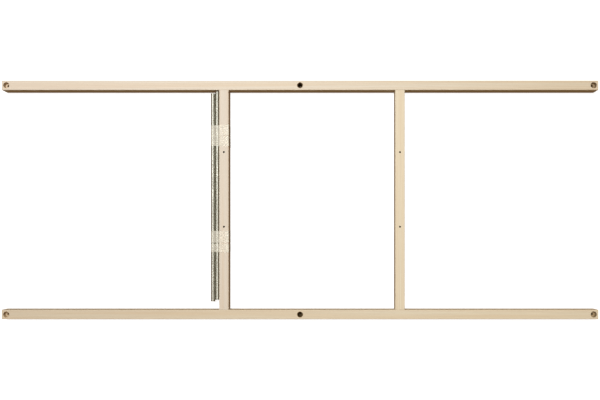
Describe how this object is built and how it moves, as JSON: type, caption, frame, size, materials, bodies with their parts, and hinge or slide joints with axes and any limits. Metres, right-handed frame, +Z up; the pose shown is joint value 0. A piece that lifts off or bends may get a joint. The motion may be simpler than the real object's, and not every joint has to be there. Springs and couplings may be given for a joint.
{
  "type": "folding stretcher frame",
  "caption": "Flat timber stretcher frame: long side rails joined by cross bars, with counterbored corner bolt holes, lined rod sockets and steel rods taped alongside a cross bar.",
  "frame": {"origin": "centre of the frame's underside, on the ground it lies on", "axes": "+X along the side rails to the right, +Y across the frame to the far rail, +Z up out of the counterbored face"},
  "size_m": [2, 0.8, 0.0327],
  "materials": {
    "beech": "planed and sanded pale beech, unfinished, matt",
    "dowel_beech": "fluted, unfinished",
    "black_plastic": "moulded, matt",
    "zinc_steel": "bright zinc plated tube, slightly drawn along its length",
    "cream_tape": "thin translucent packing tape, slightly wrinkled"
  },
  "bodies": {
    "frame": {"side_rail_far": "beech", "side_rail_near": "beech", "cross_bar_left": "beech", "cross_bar_right": "beech", "socket_bush_far": "black_plastic", "socket_bush_near": "black_plastic", "dowel_left_far_1": "dowel_beech", "dowel_left_far_2": "dowel_beech", "dowel_left_near_1": "dowel_beech", "dowel_left_near_2": "dowel_beech", "dowel_right_far_1": "dowel_beech", "dowel_right_far_2": "dowel_beech", "dowel_right_near_1": "dowel_beech", "dowel_right_near_2": "dowel_beech", "tape_far_band_1": "cream_tape", "tape_far_band_2": "cream_tape", "tape_near_band_1": "cream_tape", "tape_near_band_2": "cream_tape"},
    "inner_rod": {"storage_rod_inner": "zinc_steel"},
    "outer_rod": {"storage_rod_outer": "zinc_steel"}
  },
  "joints": [
    {"name": "inner_rod_slide", "type": "slide", "parent": "frame", "child": "inner_rod", "axis": [0, 1, 0], "range_m": [-0.0325, 0.0045]},
    {"name": "outer_rod_slide", "type": "slide", "parent": "frame", "child": "outer_rod", "axis": [0, 1, 0], "range_m": [-0.027, 0.01]}
  ]
}
